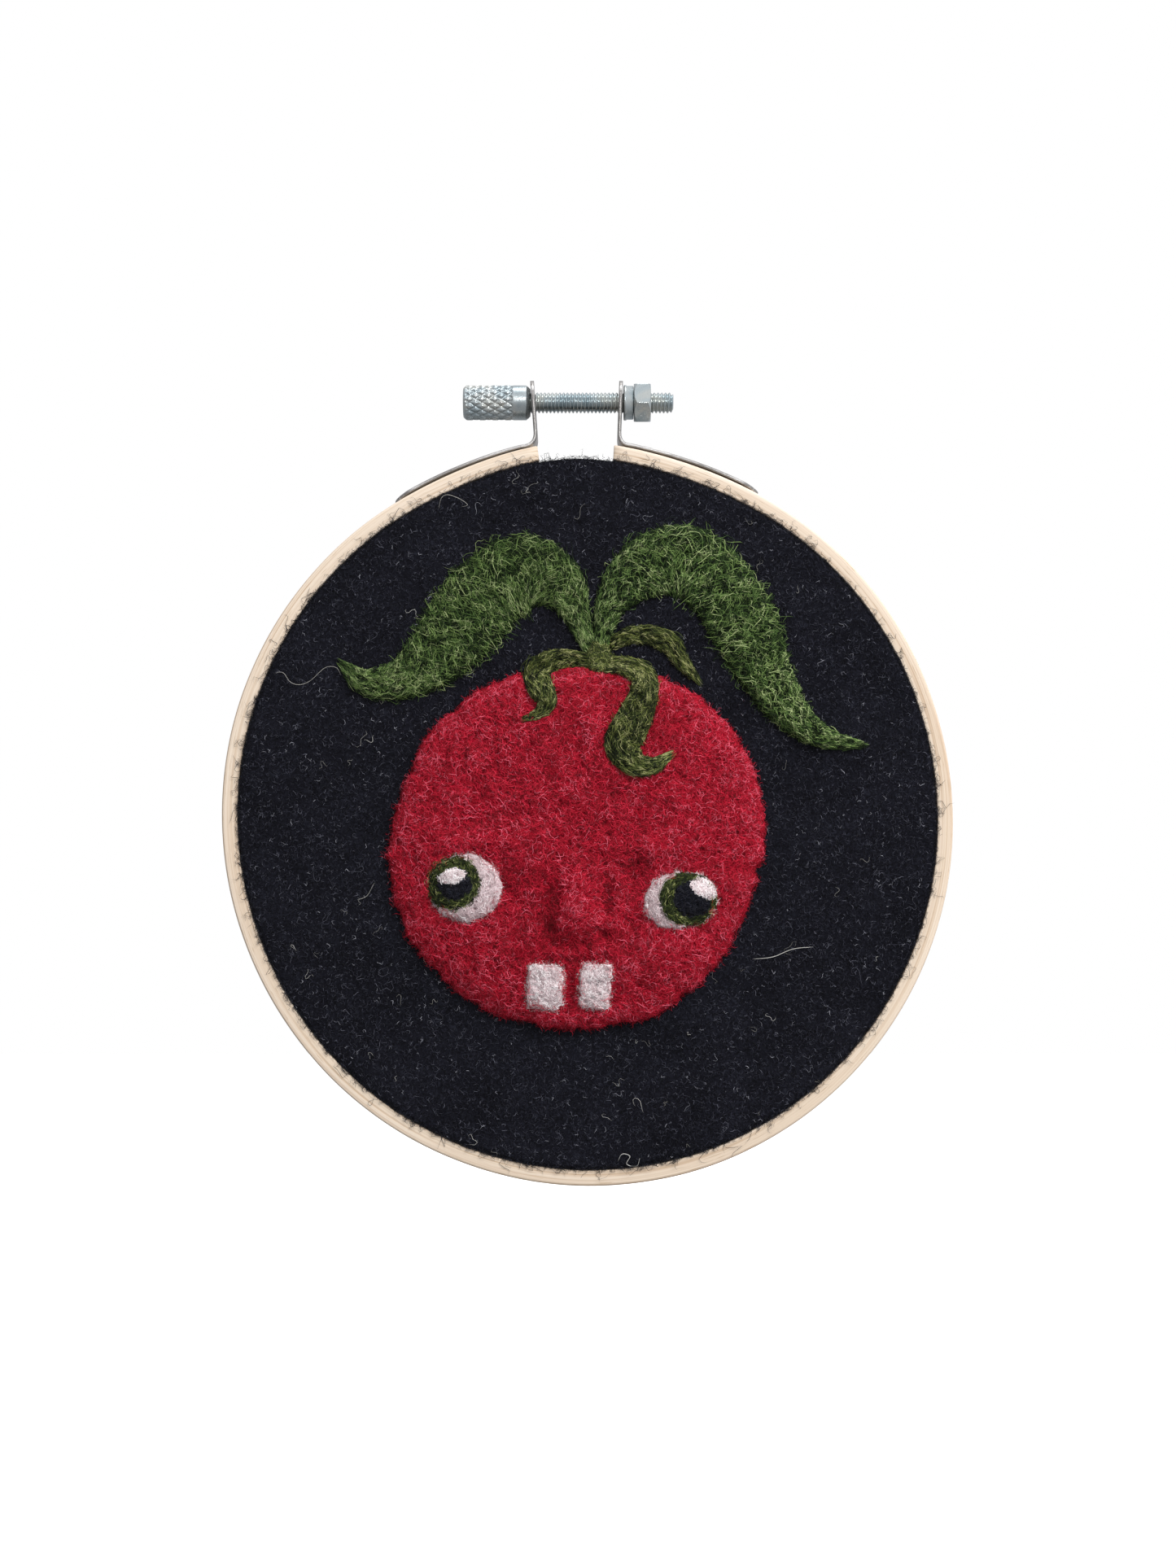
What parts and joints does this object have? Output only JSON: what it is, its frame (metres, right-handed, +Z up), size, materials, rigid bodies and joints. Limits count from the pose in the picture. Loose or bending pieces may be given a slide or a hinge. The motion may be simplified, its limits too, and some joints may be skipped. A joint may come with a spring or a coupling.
{
  "type": "hoop-framed felted picture",
  "caption": "Needle-felted tomato face on black wool felt, stretched in a small round wooden embroidery hoop with a screw clamp that also hangs it up.",
  "frame": {"origin": "hanging point: the underside of the clamp screw's shank, above the hoop's centre, at the middle of the outer hoop's depth", "axes": "+Z up, -Y out of the picture's front, +X to the right as seen from the front"},
  "size_m": [0.1326, 0.0199, 0.1476],
  "materials": {
    "hoop_wood": "pale, fine-grained, bare and lightly sanded",
    "plated_steel": "bright bluish zinc plate",
    "bracket_steel": "thin rolled strip, streaky and bright",
    "black_felt": "thick fuzzy wool felt with stray grey fibres",
    "red_wool": "needle-felted wool, crimson with pink flyaway fibres",
    "leaf_wool": "needle-felted wool combed along each leaf",
    "olive_wool": "needle-felted wool, darker olive green",
    "white_wool": "needle-felted wool, off-white, tinted by red fibres",
    "black_wool": "needle-felted wool, near black"
  },
  "bodies": {
    "hoop_left": {"outer_hoop_left": "hoop_wood", "bracket_left": "bracket_steel", "rivet_left_1": "bracket_steel", "rivet_left_2": "bracket_steel"},
    "hoop_right": {"outer_hoop_right": "hoop_wood", "bracket_right": "bracket_steel", "rivet_right_1": "bracket_steel", "rivet_right_2": "bracket_steel", "nut_collar": "plated_steel", "hex_nut": "plated_steel"},
    "screw": {"clamp_screw": "plated_steel"},
    "picture": {"inner_hoop": "hoop_wood", "ground_felt": "black_felt", "tomato_body": "red_wool", "nose": "red_wool", "leaf_left": "leaf_wool", "leaf_right": "leaf_wool", "leaf_small": "leaf_wool", "sepal_left": "olive_wool", "sepal_right": "olive_wool", "calyx_crown": "olive_wool", "eyeball_left": "white_wool", "eyeball_right": "white_wool", "iris_left": "olive_wool", "iris_right": "olive_wool", "pupil_left": "black_wool", "pupil_right": "black_wool", "glint_left": "white_wool", "glint_right": "white_wool", "tooth_left": "white_wool", "tooth_right": "white_wool"}
  },
  "joints": [
    {"name": "hoop_opening", "type": "hinge", "parent": "hoop_left", "child": "hoop_right", "pos_m": [0.00906, 0, -0.13964], "axis": [0, 1, 0], "range_deg": [0, 1.7]},
    {"name": "screw_turn", "type": "hinge", "parent": "hoop_left", "child": "screw", "pos_m": [0, 0, 0.0019], "axis": [-1, 0, 0], "range_deg": [0, 2160]},
    {"name": "picture_release", "type": "slide", "parent": "hoop_left", "child": "picture", "axis": [0, 1, 0], "range_m": [0, 0.02]}
  ],
  "couplings": [
    {"joint": "screw_turn", "follows": "hoop_opening", "ratio": 1270.5}
  ]
}
